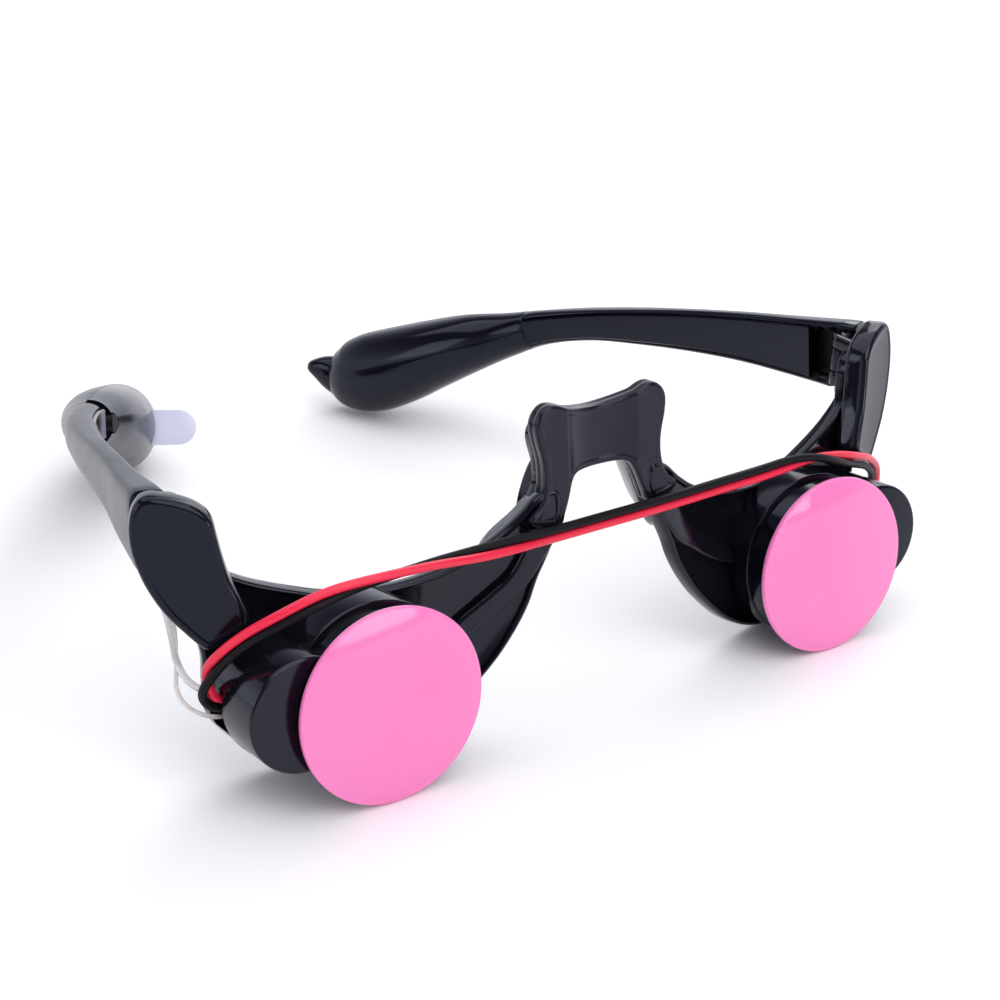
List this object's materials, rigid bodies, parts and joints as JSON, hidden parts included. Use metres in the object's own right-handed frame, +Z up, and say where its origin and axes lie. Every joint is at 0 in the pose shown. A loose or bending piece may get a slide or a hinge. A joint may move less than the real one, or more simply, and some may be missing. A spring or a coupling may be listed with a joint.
{
  "type": "led glasses",
  "caption": "Black half-frame light-up spectacles with round pink lamp covers worn over the cheeks, a high bridge, joined leads and curved folding temples with egg-shaped tips.",
  "frame": {"origin": "centre of the footprint, on the surface that the two lamp covers and the two temple tips stand on", "axes": "+X to the wearer's left lamp (the far lamp in the view the part is built from), +Y from the lamp covers back to the temple tips, +Z up"},
  "size_m": [0.1496, 0.1454, 0.0527],
  "materials": {
    "black_plastic": "gloss",
    "pink_cover": "gloss, translucent",
    "red_wire": "satin",
    "black_wire": "satin",
    "clear_wire": "translucent",
    "pin_steel": "plain",
    "cell_steel": "bright",
    "spring_steel": "plain",
    "contact_metal": "plain",
    "board_green": "solder mask",
    "chip_black": "epoxy",
    "led_clear": "clear epoxy",
    "inner_plastic": "satin",
    "tab_film": "translucent film"
  },
  "bodies": {
    "front": {"front_frame": "black_plastic", "bridge_cover": "black_plastic", "endpiece_cover_left": "black_plastic", "endpiece_cover_right": "black_plastic", "lamp_housing_left": "black_plastic", "lamp_housing_right": "black_plastic", "lamp_cover_left": "pink_cover", "lamp_cover_right": "pink_cover", "lamp_board_left": "board_green", "lamp_board_right": "board_green", "led_left": "led_clear", "led_right": "led_clear", "lead_red": "red_wire", "lead_black": "black_wire", "lead_clear_thick": "clear_wire", "lead_clear_thin": "clear_wire", "hinge_pin_left": "pin_steel", "hinge_pin_right": "pin_steel"},
    "temple_left": {"temple_shell_left": "black_plastic", "temple_panel_left": "black_plastic", "tip_cover_left": "black_plastic", "cell_holder": "inner_plastic", "button_cells": "cell_steel", "contact_spring": "spring_steel", "contact_plate": "contact_metal", "control_board": "board_green", "control_chip": "chip_black", "switch_body": "inner_plastic"},
    "temple_right": {"temple_shell_right": "black_plastic", "temple_panel_right": "black_plastic", "tip_cover_right": "black_plastic"},
    "button": {"switch_button": "inner_plastic"},
    "tab": {"pull_tab": "tab_film"}
  },
  "joints": [
    {"name": "temple_left_fold", "type": "hinge", "parent": "front", "child": "temple_left", "pos_m": [-0.0672, -0.04528, 0.04], "axis": [0, 0, -1], "range_deg": [0, 60], "deforming": ["lead_clear_thick", "lead_clear_thin"]},
    {"name": "temple_right_fold", "type": "hinge", "parent": "front", "child": "temple_right", "pos_m": [0.0672, -0.04528, 0.04], "axis": [0, 0, 1], "range_deg": [0, 50]},
    {"name": "button_press", "type": "slide", "parent": "temple_left", "child": "button", "axis": [-0.7729, 0.6259, -0.1045], "range_m": [0, 0.0008], "stiffness_N_per_m": 300},
    {"name": "tab_pull", "type": "slide", "parent": "temple_left", "child": "tab", "axis": [0.8763, -0.4818, 0], "range_m": [0, 0.016]}
  ]
}
